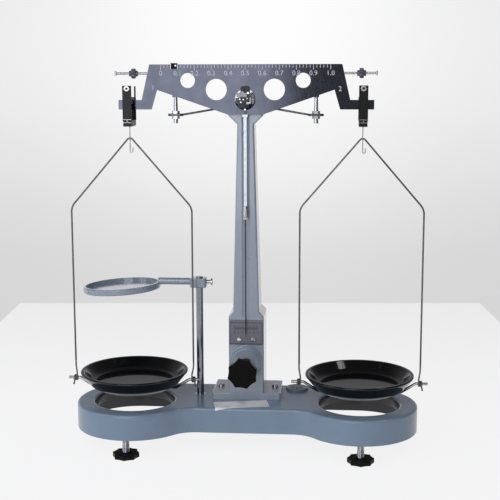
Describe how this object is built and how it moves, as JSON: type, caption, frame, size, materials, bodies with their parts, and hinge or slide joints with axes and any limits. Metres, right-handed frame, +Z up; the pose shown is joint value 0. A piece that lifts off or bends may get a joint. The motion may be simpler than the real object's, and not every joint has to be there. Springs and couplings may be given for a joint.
{
  "type": "equal-arm prescription balance",
  "caption": "Two-pan prescription balance: knife-edge beam with rider scale, pointer and arrest knob on a cast pillar, hanging pans and a swinging beaker tray.",
  "frame": {"origin": "on the surface under the feet, midway between the pans and below the knife edge of the beam", "axes": "+X to the right along the beam, +Y to the back, +Z up; the knob and the pointer face -Y"},
  "size_m": [0.416, 0.1405, 0.437],
  "materials": {
    "base_paint": "satin",
    "bare_steel": "satin",
    "dark_steel": "satin",
    "polished_steel": "polished",
    "bronze": "satin",
    "light_alloy": "satin",
    "beam_finish": "gloss",
    "black_paint": "satin",
    "black_plastic": "gloss",
    "pan_black": "gloss",
    "scale_dark": "satin",
    "agate": "polished",
    "clear_glass": "polished",
    "level_paint": "satin",
    "label_white": "matte"
  },
  "bodies": {
    "base": {"base_casting": "base_paint", "foot_bushes": "bronze", "rear_foot": "black_plastic", "pillar": "base_paint", "pillar_screws": "bare_steel", "rod_guides": "bronze", "shaft_bush": "bronze", "rear_cover": "base_paint", "small_screws": "bare_steel", "scale_plate": "scale_dark", "rest_arms": "dark_steel", "rest_pins": "bare_steel", "rest_pin_nuts": "bare_steel", "level_housing": "level_paint", "level_glass": "clear_glass", "stand_socket": "bare_steel", "base_label": "label_white"},
    "arrest_shaft": {"arrest_knob": "black_plastic", "cam_shaft": "bare_steel"},
    "bearing_lift": {"lift_rod": "bare_steel", "bearing_head": "black_paint", "centre_bearings": "agate", "bearing_guards": "polished_steel", "bearing_end_plate": "dark_steel", "bearing_rivets": "bare_steel"},
    "beam": {"beam_plate": "beam_finish", "knife_holder": "light_alloy", "knife_clamp": "light_alloy", "knife_screws": "bare_steel", "centre_knife": "bare_steel", "end_knives": "bare_steel", "adjusting_rods": "light_alloy", "pointer_bar": "bare_steel", "pointer_screws": "bare_steel", "pointer_needle": "dark_steel"},
    "left_nut": {"left_adjusting_nut": "black_paint"},
    "right_nut": {"right_adjusting_nut": "black_paint"},
    "beam_rider": {"rider": "black_plastic"},
    "pointer_weight": {"sensitivity_weight": "polished_steel"},
    "stand": {"stand_post": "polished_steel"},
    "tray": {"beaker_tray": "base_paint"},
    "thumb_screw": {"tray_screw": "bare_steel"},
    "left_stirrup_set": {"left_stirrup": "black_paint", "left_stirrup_bearings": "agate", "left_stirrup_pins": "bare_steel"},
    "left_hook_wire": {"left_hook": "bare_steel"},
    "left_bow_wire": {"left_bow": "dark_steel"},
    "left_pan_carrier": {"left_carrier": "bare_steel"},
    "left_pan_dish": {"left_pan": "pan_black"},
    "left_foot": {"left_foot_screw": "bare_steel"},
    "left_foot_wheel": {"left_foot_knob": "black_plastic"},
    "right_stirrup_set": {"right_stirrup": "black_paint", "right_stirrup_bearings": "agate", "right_stirrup_pins": "bare_steel"},
    "right_hook_wire": {"right_hook": "bare_steel"},
    "right_bow_wire": {"right_bow": "dark_steel"},
    "right_pan_carrier": {"right_carrier": "bare_steel"},
    "right_pan_dish": {"right_pan": "pan_black"},
    "right_foot": {"right_foot_screw": "bare_steel"},
    "right_foot_wheel": {"right_foot_knob": "black_plastic"}
  },
  "joints": [
    {"name": "rod_lift", "type": "slide", "parent": "base", "child": "bearing_lift", "axis": [0, 0, 1], "range_m": [0, 0.0025]},
    {"name": "arrest_turn", "type": "hinge", "parent": "base", "child": "arrest_shaft", "pos_m": [0, -0.02, 0.0976], "axis": [0, 1, 0], "range_deg": [0, 90.5]},
    {"name": "beam_tilt", "type": "hinge", "parent": "bearing_lift", "child": "beam", "pos_m": [0, 0, 0.393], "axis": [0, 1, 0], "range_deg": [-2.5, 2.5]},
    {"name": "left_nut_travel", "type": "slide", "parent": "beam", "child": "left_nut", "axis": [1, 0, 0], "range_m": [-0.005, 0.005]},
    {"name": "right_nut_travel", "type": "slide", "parent": "beam", "child": "right_nut", "axis": [1, 0, 0], "range_m": [-0.005, 0.005]},
    {"name": "rider_travel", "type": "slide", "parent": "beam", "child": "beam_rider", "axis": [1, 0, 0], "range_m": [-0.015, 0.172]},
    {"name": "weight_travel", "type": "slide", "parent": "beam", "child": "pointer_weight", "axis": [0, 0, 1], "range_m": [-0.006, 0.03]},
    {"name": "stand_swivel", "type": "hinge", "parent": "base", "child": "stand", "pos_m": [-0.0563, 0.0252, 0.1], "axis": [0, 0, 1], "range_deg": [-90, 20]},
    {"name": "tray_travel", "type": "slide", "parent": "stand", "child": "tray", "axis": [0, 0, 1], "range_m": [-0.08, 0]},
    {"name": "thumb_screw_turn", "type": "hinge", "parent": "tray", "child": "thumb_screw", "pos_m": [-0.048, 0.0252, 0.1862], "axis": [1, 0, 0], "range_deg": [0, 360]},
    {"name": "left_stirrup_swing", "type": "hinge", "parent": "beam", "child": "left_stirrup_set", "pos_m": [-0.13, 0, 0.3925], "axis": [0, 1, 0], "range_deg": [-2.6, 2.6]},
    {"name": "left_hook_swing", "type": "hinge", "parent": "left_stirrup_set", "child": "left_hook_wire", "pos_m": [-0.13, 0, 0.3705], "axis": [1, 0, 0], "range_deg": [-8, 2.5]},
    {"name": "left_bow_swing", "type": "hinge", "parent": "left_hook_wire", "child": "left_bow_wire", "pos_m": [-0.13, 0, 0.354], "axis": [0, 1, 0], "range_deg": [-2, 3]},
    {"name": "left_carrier_rock", "type": "hinge", "parent": "left_bow_wire", "child": "left_pan_carrier", "pos_m": [-0.13, 0, 0.0755], "axis": [1, 0, 0], "range_deg": [-8, 8]},
    {"name": "left_pan_lift", "type": "slide", "parent": "left_pan_carrier", "child": "left_pan_dish", "axis": [0, 0, 1], "range_m": [0, 0.03]},
    {"name": "left_foot_height", "type": "slide", "parent": "base", "child": "left_foot", "axis": [0, 0, 1], "range_m": [-0.005, 0.005]},
    {"name": "left_foot_turn", "type": "hinge", "parent": "left_foot", "child": "left_foot_wheel", "pos_m": [-0.1313, -0.055, 0.003], "axis": [0, 0, 1], "range_deg": [-1441, 1441]},
    {"name": "right_stirrup_swing", "type": "hinge", "parent": "beam", "child": "right_stirrup_set", "pos_m": [0.13, 0, 0.3925], "axis": [0, 1, 0], "range_deg": [-2.6, 2.6]},
    {"name": "right_hook_swing", "type": "hinge", "parent": "right_stirrup_set", "child": "right_hook_wire", "pos_m": [0.13, 0, 0.3705], "axis": [1, 0, 0], "range_deg": [-8, 8]},
    {"name": "right_bow_swing", "type": "hinge", "parent": "right_hook_wire", "child": "right_bow_wire", "pos_m": [0.13, 0, 0.354], "axis": [0, 1, 0], "range_deg": [-3, 3]},
    {"name": "right_carrier_rock", "type": "hinge", "parent": "right_bow_wire", "child": "right_pan_carrier", "pos_m": [0.13, 0, 0.0755], "axis": [1, 0, 0], "range_deg": [-8, 8]},
    {"name": "right_pan_lift", "type": "slide", "parent": "right_pan_carrier", "child": "right_pan_dish", "axis": [0, 0, 1], "range_m": [0, 0.03]},
    {"name": "right_foot_height", "type": "slide", "parent": "base", "child": "right_foot", "axis": [0, 0, 1], "range_m": [-0.005, 0.005]},
    {"name": "right_foot_turn", "type": "hinge", "parent": "right_foot", "child": "right_foot_wheel", "pos_m": [0.1313, -0.055, 0.003], "axis": [0, 0, 1], "range_deg": [-1441, 1441]}
  ],
  "couplings": [
    {"joint": "arrest_turn", "follows": "rod_lift", "rad_per_m": 628.32},
    {"joint": "left_stirrup_swing", "follows": "beam_tilt", "ratio": -1},
    {"joint": "right_stirrup_swing", "follows": "beam_tilt", "ratio": -1},
    {"joint": "left_foot_turn", "follows": "left_foot_height", "rad_per_m": 5026.5},
    {"joint": "right_foot_turn", "follows": "right_foot_height", "rad_per_m": 5026.5}
  ]
}
